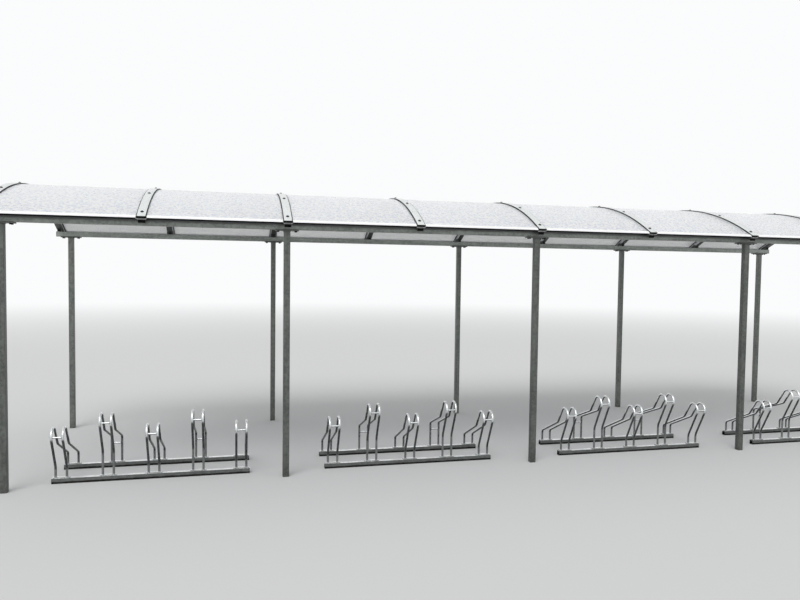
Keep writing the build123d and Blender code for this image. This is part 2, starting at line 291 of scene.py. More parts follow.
class StageSettings(bpy.types.PropertyGroup):
    """Camera, light and floor."""

    focal: bpy.props.FloatProperty(
        name="Focal Length in Pixels", description="Focal length on an image 800 pixels wide",
        default=684.9, min=100.0)
    place: bpy.props.FloatVectorProperty(
        name="Camera Place", description="Where the camera stands",
        default=(-2.471, -6.482, 1.604), size=3, subtype="TRANSLATION", unit="LENGTH")
    yaw: bpy.props.FloatProperty(
        name="Yaw", description="Turn of the camera to the right of the row's depth",
        default=math.radians(14.200), subtype="ANGLE", unit="ROTATION")
    pitch: bpy.props.FloatProperty(
        name="Pitch", description="Tilt of the camera above the horizon",
        default=math.radians(-2.522), subtype="ANGLE", unit="ROTATION")
    roll: bpy.props.FloatProperty(
        name="Roll", description="Roll of the camera",
        default=math.radians(0.758), subtype="ANGLE", unit="ROTATION")
    shift: bpy.props.FloatVectorProperty(
        name="Shift in Pixels", description="Shift of the picture to the right and down",
        default=(10.8, 4.7), size=2)
    floor: bpy.props.FloatVectorProperty(
        name="Floor", description="Colour of the floor",
        default=(0.640, 0.645, 0.645), min=0, max=1, size=3, subtype="COLOR")
    fade: bpy.props.FloatVectorProperty(
        name="Floor Fade", description="Distances between which the floor fades into the backdrop",
        default=(8.0, 34.0), min=0, size=2, unit="LENGTH")
    backdrop: bpy.props.FloatVectorProperty(
        name="Backdrop", description="Colour behind the shelter",
        default=(0.965, 0.972, 0.978), min=0, max=1, size=3, subtype="COLOR")
    dome: bpy.props.FloatProperty(
        name="Dome Light", description="Strength of the light from all round",
        default=0.55, min=0.0)
    key: bpy.props.FloatProperty(
        name="Key Light", description="Strength of the soft light from the front",
        default=1.35, min=0.0)


class ShelterSettings(bpy.types.PropertyGroup):
    """All settings of the bike shelter."""

    roof: bpy.props.PointerProperty(type=RoofSettings)
    frame: bpy.props.PointerProperty(type=FrameSettings)
    rack: bpy.props.PointerProperty(type=RackSettings)
    finish: bpy.props.PointerProperty(type=FinishSettings)
    stage: bpy.props.PointerProperty(type=StageSettings)


# Helpers for node trees


class Tree:
    """Adds and joins the nodes of one geometry or shader tree."""

    def __init__(self, tree):
        self.tree = tree

    def feed(self, socket, value):
        """Links a socket to an input, or sets the input to a plain value."""
        if isinstance(value, bpy.types.NodeSocket):
            self.tree.links.new(value, socket)
        else:
            socket.default_value = value

    def add(self, kind, inputs=None, **settings):
        """Adds a node with its settings, and feeds its inputs."""
        node = self.tree.nodes.new(kind)
        for key, value in settings.items():
            setattr(node, key, value)
        for key, value in (inputs or {}).items():
            self.feed(node.inputs[key], value)
        return node

    def math(self, operation, a, b=0.0, clamp=False):
        """One step of arithmetic."""
        return self.add("ShaderNodeMath", {0: a, 1: b}, operation=operation, use_clamp=clamp).outputs[0]

    def plus(self, a, b, clamp=False):
        """The sum of two values."""
        return self.math("ADD", a, b, clamp)

    def minus(self, a, b, clamp=False):
        """The first value less the second."""
        return self.math("SUBTRACT", a, b, clamp)

    def times(self, a, b):
        """The product of two values."""
        return self.math("MULTIPLY", a, b)

    def over(self, a, b):
        """The first value divided by the second."""
        return self.math("DIVIDE", a, b)

    def span(self, value, low, high, to_low=0.0, to_high=1.0, ease="SMOOTHSTEP"):
        """Maps a value from one range to another and clamps it. A range may run backwards."""
        inputs = {"Value": value, 1: low, 2: high, 3: to_low, 4: to_high}
        return self.add("ShaderNodeMapRange", inputs, interpolation_type=ease).outputs[0]

    def blend(self, factor, a, b):
        """Mixes two colours."""
        return self.add("ShaderNodeMix", {0: factor, 6: a, 7: b}, data_type="RGBA").outputs[2]

    def vector(self, x=0.0, y=0.0, z=0.0):
        """A vector from three values."""
        return self.add("ShaderNodeCombineXYZ", {0: x, 1: y, 2: z}).outputs[0]

    def height(self, vector):
        """The upright part of a vector."""
        return self.add("ShaderNodeSeparateXYZ", {0: vector}).outputs[2]

    def scaled(self, vector, scale):
        """A vector multiplied part by part."""
        return self.add("ShaderNodeVectorMath", {0: vector, 1: scale}, operation="MULTIPLY").outputs[0]

    def noise(self, vector, scale, detail=3.0, rough=0.55):
        """Soft cloudy noise from 0 to 1."""
        inputs = {"Vector": vector, "Scale": scale, "Detail": detail, "Roughness": rough}
        return self.add("ShaderNodeTexNoise", inputs).outputs[0]

    def cells(self, vector, size, spread=1.0):
        """Scattered cells of about one size, with their colours and distances."""
        inputs = {"Vector": vector, "Scale": self.over(1.0, size), "Randomness": spread}
        return self.add("ShaderNodeTexVoronoi", inputs, voronoi_dimensions="3D", feature="F1").outputs


def add_sockets(tree, direction, sockets):
    """Gives a tree its named inputs or outputs."""
    for name, kind, *default in sockets:
        socket = tree.interface.new_socket(name, in_out=direction, socket_type=f"NodeSocket{kind}")
        if default:
            socket.default_value = default[0]


# Geometry trees


# Sizes of a tree that repeats its shape along the shelter
ROW = (("First", "Float", 0.0), ("Pitch", "Float", 1.0), ("Count", "Int", 1))


class Shape(Tree):
    """A Geometry Nodes tree with named sizes."""

    def __init__(self, name, sizes):
        super().__init__(bpy.data.node_groups.new(name, "GeometryNodeTree"))
        add_sockets(self.tree, "INPUT", [("Geometry", "Geometry"), *sizes, ("Finish", "Material")])
        add_sockets(self.tree, "OUTPUT", [("Geometry", "Geometry")])
        self.sizes = self.tree.nodes.new("NodeGroupInput").outputs

    def line(self, count, offset, start=(0.0, 0.0, 0.0)):
        """A row of points."""
        inputs = {"Count": count, "Start Location": start, "Offset": offset}
        return self.add("GeometryNodeMeshLine", inputs, mode="OFFSET").outputs[0]

    def repeat(self, shape, points, rotation=None):
        """The shape at every point."""
        inputs = {"Points": points, "Instance": shape}
        if rotation is not None:
            inputs["Rotation"] = rotation
        return self.add("GeometryNodeInstanceOnPoints", inputs).outputs[0]

    def in_row(self, shape):
        """The shape repeated along the shelter by the sizes in ROW."""
        step, start = self.vector(x=self.sizes["Pitch"]), self.vector(x=self.sizes["First"])
        return self.repeat(shape, self.line(self.sizes["Count"], step, start))

    def chance(self, seed):
        """A value from 0 to 1 that differs from point to point."""
        inputs = {2: 0.0, 3: 1.0, "Seed": seed}
        return self.add("FunctionNodeRandomValue", inputs, data_type="FLOAT").outputs[1]

    def join(self, *shapes):
        """Several shapes as one."""
        node = self.tree.nodes.new("GeometryNodeJoinGeometry")
        for shape in reversed(shapes):
            self.tree.links.new(shape, node.inputs[0])
        return node.outputs[0]

    def move(self, shape, place=(0.0, 0.0, 0.0), rotation=(0.0, 0.0, 0.0)):
        """The shape moved and turned."""
        inputs = {"Geometry": shape, "Translation": place, "Rotation": rotation}
        return self.add("GeometryNodeTransform", inputs).outputs[0]

    def drum(self, radius, depth, sides):
        """An upright cylinder round the origin."""
        inputs = {"Vertices": sides, "Radius": radius, "Depth": depth}
        return self.add("GeometryNodeMeshCylinder", inputs).outputs[0]

    def stud(self, radius, height, sides, base):
        """An upright cylinder that stands on a given height."""
        return self.move(self.drum(radius, height, sides), (0.0, 0.0, base + height / 2))

    def circle(self, radius, sides):
        """A circle as a curve round the origin."""
        inputs = {"Resolution": sides, "Radius": radius}
        return self.add("GeometryNodeCurvePrimitiveCircle", inputs).outputs[0]

    def oblong(self, width, height):
        """A rectangle as a curve round the origin."""
        inputs = {"Width": width, "Height": height}
        return self.add("GeometryNodeCurvePrimitiveQuadrilateral", inputs).outputs[0]

    def eased(self, curve, radius, steps, limited=False):
        """A curve with its corners rounded."""
        inputs = {"Curve": curve, "Count": steps, "Radius": radius, "Limit Radius": limited}
        return self.add("GeometryNodeFilletCurve", inputs, mode="POLY").outputs[0]

    def sweep(self, path, profile):
        """A profile run along a path, closed at its ends."""
        inputs = {"Curve": path, "Profile Curve": profile, "Fill Caps": True}
        return self.add("GeometryNodeCurveToMesh", inputs).outputs[0]

    def close(self, shape, crease=35):
        """Ends the tree: real geometry, smooth but for its creases, with its finish."""
        real = self.add("GeometryNodeRealizeInstances", {"Geometry": shape}).outputs[0]
        angle = self.add("GeometryNodeInputMeshEdgeAngle").outputs[0]
        sharp = self.math("GREATER_THAN", angle, math.radians(crease))
        edges = self.add(
            "GeometryNodeSetShadeSmooth",
            {"Geometry": real, "Selection": sharp, "Shade Smooth": False}, domain="EDGE").outputs[0]
        faces = self.add("GeometryNodeSetShadeSmooth", {"Geometry": edges}, domain="FACE").outputs[0]
        finish = self.add("GeometryNodeSetMaterial", {"Geometry": faces, "Material": self.sizes["Finish"]})
        out = self.tree.nodes.new("NodeGroupOutput")
        self.tree.links.new(finish.outputs[0], out.inputs[0])
        return self.tree


def arched_band():
    """A band of rectangular section on the roof's arch, repeated along the row."""
    shape = Shape("Arched Band", [
        ("Radius", "Float", 2.33), ("Thickness", "Float", 0.01), ("Half Angle", "Float", 0.5),
        ("Width", "Float", 1.0), ("Edge", "Float", 0.001), ("Arch Centre", "Float", 0.0),
        ("Steps", "Int", 96), *ROW])
    size = shape.sizes
    arc = shape.add("GeometryNodeCurveArc", {
        "Resolution": size["Steps"],
        "Radius": shape.minus(size["Radius"], shape.over(size["Thickness"], 2.0)),
        "Start Angle": shape.minus(math.pi / 2, size["Half Angle"]),
        "Sweep Angle": shape.times(size["Half Angle"], 2.0),
    }).outputs[0]
    upright = shape.add("GeometryNodeSetCurveNormal", {"Curve": arc}, mode="Z_UP").outputs[0]
    section = shape.eased(shape.oblong(size["Thickness"], size["Width"]), size["Edge"], 2)
    band = shape.sweep(upright, section)
    standing = shape.move(band, shape.vector(z=size["Arch Centre"]), (math.pi / 2, 0.0, math.pi / 2))
    return shape.close(shape.in_row(standing))


def eave_lips():
    """Flat lips at both eaves, square to the arch or leaning, repeated along the row."""
    shape = Shape("Eave Lips", [
        ("Length", "Float", 1.0), ("Thickness", "Float", 0.003), ("Height", "Float", 0.014),
        ("Radius", "Float", 2.32), ("Outward", "Float", 0.004), ("Lean", "Float", 0.0),
        ("Half Angle", "Float", 0.5), ("Arch Centre", "Float", 0.0), *ROW])
    size = shape.sizes
    lip = shape.add("GeometryNodeMeshCube", {
        "Size": shape.vector(size["Length"], size["Thickness"], size["Height"])}).outputs[0]
    eaves = []
    for side in (-1.0, 1.0):
        place = shape.vector(y=shape.times(size["Outward"], side), z=size["Radius"])
        leaning = shape.move(lip, place, shape.vector(x=shape.times(size["Lean"], side)))
        turn = shape.vector(x=shape.times(size["Half Angle"], -side))
        eaves.append(shape.move(leaning, shape.vector(z=size["Arch Centre"]), turn))
    return shape.close(shape.in_row(shape.join(*eaves)))


def strip_screws():
    """Hexagon screws with washers along every cover strip, each turned by chance."""
    shape = Shape("Strip Screws", [
        ("Radius", "Float", 2.339), ("Arch Centre", "Float", 0.0), ("Half Angle", "Float", 0.5),
        ("Per Strip", "Int", 6), ("Washer", "Float", 0.025), *ROW])
    size = shape.sizes
    washer, flange, head, sunk = 0.0018, 0.0012, 0.0036, 0.0002
    screw = shape.join(
        shape.stud(shape.over(size["Washer"], 2.0), washer, 20, base=0.0),
        shape.stud(shape.times(size["Washer"], 0.40), flange, 16, base=washer),
        shape.stud(shape.times(size["Washer"], 0.29), head, 6, base=washer + flange - sunk))
    points = shape.line(size["Per Strip"], (0.0, 0.0, 0.0))
    index = shape.add("GeometryNodeInputIndex").outputs[0]
    step = shape.over(shape.times(size["Half Angle"], 2.0), shape.minus(size["Per Strip"], 1.0))
    angle = shape.minus(shape.times(index, step), size["Half Angle"])
    place = shape.vector(
        y=shape.times(shape.math("SINE", angle), size["Radius"]),
        z=shape.plus(shape.times(shape.math("COSINE", angle), size["Radius"]), size["Arch Centre"]))
    along = shape.add("GeometryNodeSetPosition", {"Geometry": points, "Position": place}).outputs[0]
    spin = shape.vector(z=shape.chance(seed=5))
    tilt = shape.vector(x=shape.times(angle, -1.0))
    lean = shape.add("FunctionNodeRotateEuler", {0: spin, 1: tilt}, space="OBJECT").outputs[0]
    return shape.close(shape.in_row(shape.repeat(screw, along, lean)))


def head_bolts():
    """Hexagon bolts with washers under every head plate, with their shanks up through it."""
    shape = Shape("Head Bolts", [
        ("Along", "Float", 0.136), ("Across", "Float", 0.034), ("Diameter", "Float", 0.01)])
    size = shape.sizes
    washer, head, crown, shank = 0.0020, 0.0064, 0.0008, 0.0078
    bolt = shape.join(
        shape.stud(size["Diameter"], washer, 24, base=-washer),
        shape.stud(shape.times(size["Diameter"], 0.98), head, 6, base=-washer - head),
        shape.stud(shape.times(size["Diameter"], 0.78), crown, 18, base=-washer - head - crown),
        shape.stud(shape.over(size["Diameter"], 2.0), shank, 14, base=0.0))
    corner = shape.vector(shape.times(size["Along"], -0.5), shape.times(size["Across"], -0.5))
    pair = shape.line(2, shape.vector(x=size["Along"]), corner)
    bolts = shape.repeat(bolt, pair, shape.vector(z=shape.chance(seed=9)))
    rows = shape.repeat(bolts, shape.line(2, shape.vector(y=size["Across"])))
    return shape.close(shape.repeat(rows, size["Geometry"]))


def weld_rings():
    """A rippled bead round a rectangle or a circle, at every given point."""
    shape = Shape("Weld Rings", [
        ("Width", "Float", 0.06), ("Depth", "Float", 0.06), ("Corner", "Float", 0.006),
        ("Bead", "Float", 0.006), ("Ripple", "Float", 0.0006), ("Round", "Int", 6), ("Steps", "Int", 96)])
    size = shape.sizes
    ripples_per_metre = 260.0
    outline = shape.eased(shape.oblong(size["Width"], size["Depth"]), size["Corner"], 8, limited=True)
    even = shape.add(
        "GeometryNodeResampleCurve", {"Curve": outline, "Count": size["Steps"]}, mode="COUNT").outputs[0]
    bead = shape.sweep(even, shape.circle(shape.over(size["Bead"], 2.0), size["Round"]))
    normal = shape.add("GeometryNodeInputNormal").outputs[0]
    noise = shape.add("ShaderNodeTexNoise", {"Scale": ripples_per_metre, "Detail": 1.0}).outputs[0]
    push = shape.times(shape.minus(noise, 0.5), size["Ripple"])
    offset = shape.add("ShaderNodeVectorMath", {0: normal, 3: push}, operation="SCALE").outputs[0]
    rippled = shape.add("GeometryNodeSetPosition", {"Geometry": bead, "Offset": offset}).outputs[0]
    return shape.close(shape.repeat(rippled, size["Geometry"]), crease=80)


def bent_bars():
    """Pairs of bars bent along the given path, repeated for every other place."""
    shape = Shape("Bent Bars", [
        ("Diameter", "Float", 0.018), ("Spacing", "Float", 0.078), ("Pitch", "Float", 0.658),
        ("Count", "Int", 1)])
    size = shape.sizes
    bend = shape.add("GeometryNodeInputNamedAttribute", {"Name": "bend"}, data_type="FLOAT").outputs[0]
    path = shape.add("GeometryNodeMeshToCurve", {"Mesh": size["Geometry"]}).outputs[0]
    bar = shape.sweep(shape.eased(path, bend, 11, limited=True),
                      shape.circle(shape.over(size["Diameter"], 2.0), 20))
    pair = shape.repeat(bar, shape.line(2, shape.vector(x=size["Spacing"])))
    return shape.close(shape.repeat(pair, shape.line(size["Count"], shape.vector(x=size["Pitch"]))))


def short_braces():
    """Round braces that lie along the row with a weld bead at each end, at every given point."""
    shape = Shape("Short Braces", [("Diameter", "Float", 0.012), ("Length", "Float", 0.06)])
    size = shape.sizes
    lying = (0.0, math.pi / 2, 0.0)
    bead_radius, bead_inset = 0.0018, 0.0014
    brace = shape.drum(shape.over(size["Diameter"], 2.0), size["Length"], 18)
    bead = shape.sweep(shape.circle(shape.times(size["Diameter"], 0.56), 18), shape.circle(bead_radius, 6))
    reach = shape.minus(shape.over(size["Length"], 2.0), bead_inset)
    ends = shape.line(2, shape.vector(x=shape.times(reach, 2.0)), shape.vector(x=shape.times(reach, -1.0)))
    beads = shape.repeat(shape.move(bead, rotation=lying), ends)
    whole = shape.join(shape.move(brace, rotation=lying), beads)
    return shape.close(shape.repeat(whole, size["Geometry"]))


def shared_tree(name, make):
    """A geometry tree by name, made on first use."""
    return bpy.data.node_groups.get(name) or make()


def build_piece(name, tree, finish, sizes, start=None, replaced=()):
    """Runs a geometry tree on its start mesh and keeps the result as a plain piece."""
    base = start or bpy.data.meshes.new(f"{name}_start")
    piece = bpy.data.objects.new(name, base)
    bpy.context.scene.collection.objects.link(piece)
    modifier = piece.modifiers.new("Build", "NODES")
    modifier.node_group = tree
    values = {**sizes, "Finish": finish}
    for item in tree.interface.items_tree:
        if item.item_type == "SOCKET" and item.in_out == "INPUT" and item.name in values:
            modifier[item.identifier] = values[item.name]
    depsgraph = bpy.context.evaluated_depsgraph_get()
    built = bpy.data.meshes.new_from_object(piece.evaluated_get(depsgraph), depsgraph=depsgraph)
    if not built.polygons:
        raise RuntimeError(f"{name} came out empty")
    piece.modifiers.remove(modifier)
    piece.data = built
    built.name = name
    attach(piece, "root")
    if replaced:
        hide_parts(*replaced)


def points_mesh(name, points, bends=None):
    """A mesh of points. With bends it is a path whose corners carry their bend radii."""
    mesh = bpy.data.meshes.new(name)
    edges = [(i, i + 1) for i in range(len(points) - 1)] if bends else []
    mesh.from_pydata([tuple(point) for point in points], edges, [])
    if bends:
        layer = mesh.attributes.new("bend", "FLOAT", "POINT")
        for i, value in enumerate(bends):
            layer.data[i].value = value
    return mesh


# Shader groups that several finishes share


class Effect(Tree):
    """A shader node group with named inputs and outputs."""

    def __init__(self, name, inputs, outputs):
        super().__init__(bpy.data.node_groups.new(name, "ShaderNodeTree"))
        add_sockets(self.tree, "INPUT", inputs)
        add_sockets(self.tree, "OUTPUT", outputs)
        self.inputs = self.tree.nodes.new("NodeGroupInput").outputs
        self.out = self.tree.nodes.new("NodeGroupOutput")

    def close(self, **outputs):
        """Ends the group."""
        for name, value in outputs.items():
            self.feed(self.out.inputs[name], value)


def zinc_bloom():
    """Crystals, clouds and run marks of a hot-dip zinc coat."""
    coat = Effect("Zinc Bloom", [
        ("Vector", "Vector"), ("Pale", "Color"), ("Dark", "Color"), ("Crystal", "Float", 0.018),
        ("Along", "Vector", (1.0, 1.0, 0.08)), ("Smooth", "Float", 0.35), ("Rough", "Float", 0.60)],
        [("Color", "Color"), ("Roughness", "Float"), ("Height", "Float")])
    place = coat.inputs["Vector"]
    cells = coat.cells(place, coat.inputs["Crystal"])
    crystal = coat.add("ShaderNodeSeparateColor", {0: cells["Color"]}).outputs[0]
    cloud = coat.noise(place, 4.5, detail=5.0, rough=0.62)
    runs = coat.noise(coat.scaled(place, coat.inputs["Along"]), 46.0, detail=4.0, rough=0.6)
    fine = coat.noise(place, 420.0, detail=2.0)
    tone = coat.plus(coat.times(crystal, 0.20), coat.times(cloud, 0.45))
    tone = coat.span(coat.plus(tone, coat.times(runs, 0.55)), 0.36, 0.84)
    grain = coat.plus(coat.times(tone, 0.7), coat.times(fine, 0.3))
    rough = coat.span(grain, 0.0, 1.0, coat.inputs["Smooth"], coat.inputs["Rough"], ease="LINEAR")
    height = coat.plus(coat.times(fine, 0.5), coat.times(runs, 0.5))
    colour = coat.blend(tone, coat.inputs["Dark"], coat.inputs["Pale"])
    coat.close(Color=colour, Roughness=rough, Height=height)


def rain_beads():
    """Small drops that stand on a wet face."""
    coat = Effect("Rain Beads", [
        ("Vector", "Vector"), ("Drop", "Float", 0.012), ("Cover", "Float", 0.5)],
        [("Mask", "Float"), ("Height", "Float")])
    cells = coat.cells(coat.inputs["Vector"], coat.inputs["Drop"], spread=0.9)
    chance = coat.add("ShaderNodeSeparateColor", {0: cells["Color"]}).outputs
    kept = coat.math("LESS_THAN", chance[0], coat.inputs["Cover"])
    size = coat.plus(coat.times(chance[1], 0.26), 0.16)
    dome = coat.minus(1.0, coat.over(cells["Distance"], size), clamp=True)
    coat.close(Mask=coat.times(coat.span(dome, 0.0, 0.25), kept),
               Height=coat.times(coat.math("POWER", dome, 0.6), kept))


def ground_splash():
    """Dull grime that fades out above the ground."""
    coat = Effect("Ground Splash", [
        ("Vector", "Vector"), ("Reach", "Float", 0.25), ("Strength", "Float", 0.6)],
        [("Mask", "Float")])
    level = coat.height(coat.inputs["Vector"])
    near = coat.minus(1.0, coat.over(level, coat.inputs["Reach"]), clamp=True)
    spots = coat.span(coat.noise(coat.inputs["Vector"], 38.0, detail=5.0, rough=0.7), 0.35, 0.7)
    mask = coat.times(coat.times(near, near), spots)
    coat.close(Mask=coat.times(mask, coat.inputs["Strength"]))


def sky_side():
    """Mask of the faces that look up at the sky, or down where From is above To."""
    coat = Effect("Sky Side", [
        ("Facing", "Vector"), ("From", "Float", 0.05), ("To", "Float", 0.45)],
        [("Mask", "Float")])
    up = coat.height(coat.inputs["Facing"])
    coat.close(Mask=coat.span(up, coat.inputs["From"], coat.inputs["To"]))


def height_band():
    """Mask that grows from one height to another, with a ragged edge."""
    coat = Effect("Height Band", [
        ("Vector", "Vector"), ("Low", "Float", 0.0), ("High", "Float", 1.0)],
        [("Mask", "Float")])
    place = coat.inputs["Vector"]
    ragged = coat.times(coat.minus(coat.noise(place, 14.0), 0.5), 0.012)
    level = coat.plus(coat.height(place), ragged)
    coat.close(Mask=coat.span(level, coat.inputs["Low"], coat.inputs["High"]))


def dull_skin():
    """Fine grain and pale bloom of moulded rubber and plastic."""
    coat = Effect("Dull Skin", [
        ("Vector", "Vector"), ("Base", "Color"), ("Bloom", "Float", 0.25), ("Smooth", "Float", 0.45),
        ("Rough", "Float", 0.75)],
        [("Color", "Color"), ("Roughness", "Float"), ("Height", "Float")])
    bloomed = (0.035, 0.035, 0.036, 1.0)
    cloud = coat.noise(coat.inputs["Vector"], 24.0, detail=4.0, rough=0.6)
    grain = coat.noise(coat.inputs["Vector"], 900.0, detail=2.0)
    bloom = coat.times(coat.span(cloud, 0.45, 0.75), coat.inputs["Bloom"])
    rough = coat.span(cloud, 0.3, 0.7, coat.inputs["Smooth"], coat.inputs["Rough"], ease="LINEAR")
    coat.close(Color=coat.blend(bloom, coat.inputs["Base"], bloomed), Roughness=rough, Height=grain)


# Finishes


# How much the run marks of a finish are stretched along x, y and z: a small share is a long mark
EVEN = (1.0, 1.0, 1.0)
UPRIGHT = (1.0, 1.0, 0.06)
LEVEL = (0.06, 1.0, 1.0)
ACROSS = (1.0, 0.08, 1.0)


class Finish(Tree):
    """A material whose Principled shader is fed by the shared effects."""

    def __init__(self, name, metallic=0.0, **constants):
        made = bpy.data.materials.new(name)
        made.use_nodes = True
        super().__init__(made.node_tree)
        self.shader = self.tree.nodes["Principled BSDF"]
        self.shader.inputs["Metallic"].default_value = metallic
        for key, value in constants.items():
            self.shader.inputs[key.replace("_", " ")].default_value = value
        spot = self.add("ShaderNodeTexCoord").outputs
        self.place, self.facing = spot["Object"], spot["Normal"]

    def effect(self, name, inputs):
        """Places a shared group with its own values on the piece's own places and normals."""
        node = self.tree.nodes.new("ShaderNodeGroup")
        node.node_tree = bpy.data.node_groups[name]
        for key, socket in (("Vector", self.place), ("Facing", self.facing)):
            if key in node.inputs:
                self.tree.links.new(socket, node.inputs[key])
        for key, value in inputs.items():
            self.feed(node.inputs[key], value)
        return node.outputs

    def sky_mask(self, span):
        """Mask of the faces whose normal points up by the span."""
        return self.effect("Sky Side", {"From": span[0], "To": span[1]})["Mask"]

    def height_mask(self, span):
        """Mask that grows over a span of heights."""
        return self.effect("Height Band", {"Low": span[0], "High": span[1]})["Mask"]

    def bump(self, height, distance, strength, under=None):
        """Fine relief, laid on the relief under it where there is one."""
        inputs = {"Height": height, "Distance": distance, "Strength": strength}
        if under is not None:
            inputs["Normal"] = under
        return self.add("ShaderNodeBump", inputs).outputs[0]

    def close(self, color, roughness, normal):
        """Feeds the shader."""
        for key, value in (("Base Color", color), ("Roughness", roughness), ("Normal", normal)):
            self.feed(self.shader.inputs[key], value)


def rgba(colour):
    """A colour with full alpha."""
    return (*colour, 1.0)


def toned(colour, share):
    """A colour made paler or darker."""
    return [value * share for value in colour]


def zinc_finish(name, pale, dark, along, crystal=0.018, smooth=0.38, rough=0.62, metallic=0.75,
                relief=0.0004, splash=0.0, painted_light_tone=None, painted_light_span=None, crown_highlight_span=None,
                painted_shade=None, painted_shade_span=None):
    """Zinc whose run marks lie along one direction. With a splash it is grimy near the ground.

    The painted light tone lies on the faces whose normal points up by its span, or down where the span
    runs
    backwards: painted light on the faces that look up, painted shade on those that look down. Over the
    heights of the crown highlight it is a painted highlight on all faces but those that look down. The
    painted shade covers what is higher than its span, or what is lower where the span runs backwards.
    """
    coat = Finish(name, metallic=metallic)
    bloom = coat.effect("Zinc Bloom", {
        "Pale": rgba(pale), "Dark": rgba(dark), "Crystal": crystal, "Along": along,
        "Smooth": smooth, "Rough": rough})
    colour, roughness = bloom["Color"], bloom["Roughness"]
    # Painted light and shade: a second tone chosen by the way each face looks.
    if painted_light_tone:
        seen = coat.sky_mask(painted_light_span)
        tone = coat.effect("Zinc Bloom", {
            "Pale": rgba(painted_light_tone), "Dark": rgba(toned(painted_light_tone, 0.80)), "Crystal": crystal,
            "Along": along})["Color"]
        # Painted highlight: over the crown's heights the second tone covers every face but those that look
        # down.
        if crown_highlight_span:
            crown = coat.times(coat.height_mask(crown_highlight_span), coat.sky_mask((-0.50, -0.15)))
            seen = coat.math("MAXIMUM", seen, crown)
        colour = coat.blend(seen, colour, tone)
    # Painted shade: the shade tone laid over a span of heights.
    if painted_shade:
        colour = coat.blend(coat.height_mask(painted_shade_span), colour, rgba(painted_shade))
    if splash:
        mud = (0.085, 0.078, 0.066, 1.0)
        grime = coat.effect("Ground Splash", {"Reach": 0.30, "Strength": splash})["Mask"]
        colour = coat.blend(grime, colour, mud)
        roughness = coat.plus(roughness, coat.times(grime, 0.3), clamp=True)
    coat.close(colour, roughness, coat.bump(bloom["Height"], relief, 0.5))


def dull_finish(name, base, bloom=0.25, smooth=0.45, rough=0.75):
    """Black rubber or moulded plastic."""
    coat = Finish(name, Specular_IOR_Level=0.08)
    skin = coat.effect("Dull Skin", {"Base": rgba(base), "Bloom": bloom, "Smooth": smooth, "Rough": rough})
    coat.close(skin["Color"], skin["Roughness"], coat.bump(skin["Height"], 0.0002, 0.4))


def opal_finish(colour):
    """Opal sheet: light passes through it, and rain beads stand on it."""
    coat = Finish("rainy_opal", Subsurface_Weight=1.0, Subsurface_Radius=(1.0, 1.0, 1.0),
                  Subsurface_Scale=0.056, IOR=1.49, Coat_Weight=0.35, Coat_Roughness=0.22)
    dusty, speckled = (0.62, 0.65, 0.70, 1.0), (0.60, 0.655, 0.84, 1.0)
    misted, beaded = (0.930, 0.972, 1.0, 1.0), (0.66, 0.69, 0.76, 1.0)
    beads = coat.effect("Rain Beads", {"Drop": 0.015, "Cover": 0.55})
    mist = coat.effect("Rain Beads", {"Drop": 0.008, "Cover": 0.65})
    dust = coat.span(coat.noise(coat.place, 3.2, detail=6.0, rough=0.5), 0.38, 0.72)
    speckle = coat.span(coat.noise(coat.place, 48.0, detail=2.0, rough=0.5), 0.38, 0.58, 0.90, 0.0)
    tint = coat.blend(coat.times(dust, 0.08), rgba(colour), dusty)
    tint = coat.blend(coat.times(speckle, coat.sky_mask((0.2, 0.6))), tint, speckled)
    tint = coat.blend(coat.times(mist["Mask"], 0.45), tint, misted)
    tint = coat.blend(coat.times(beads["Mask"], 0.22), tint, beaded)
    gloss = coat.minus(0.34, coat.times(beads["Mask"], 0.24), clamp=True)
    fine = coat.bump(mist["Height"], 0.0006, 0.6)
    coat.close(tint, gloss, coat.bump(beads["Height"], 0.0016, 0.7, under=fine))


def trim_finish(name, colour, along, metallic=0.35, worn=0.86):
    """Pale trim with rain on it."""
    coat = Finish(name, metallic=metallic)
    bloom = coat.effect("Zinc Bloom", {
        "Pale": rgba(colour), "Dark": rgba(toned(colour, worn)), "Crystal": 0.004,
        "Along": along, "Smooth": 0.28, "Rough": 0.46})
    beads = coat.effect("Rain Beads", {"Drop": 0.011, "Cover": 0.4})
    gloss = coat.minus(bloom["Roughness"], coat.times(beads["Mask"], 0.2), clamp=True)
    grain = coat.bump(bloom["Height"], 0.0002, 0.4)
    coat.close(bloom["Color"], gloss, coat.bump(beads["Height"], 0.0012, 0.6, under=grain))


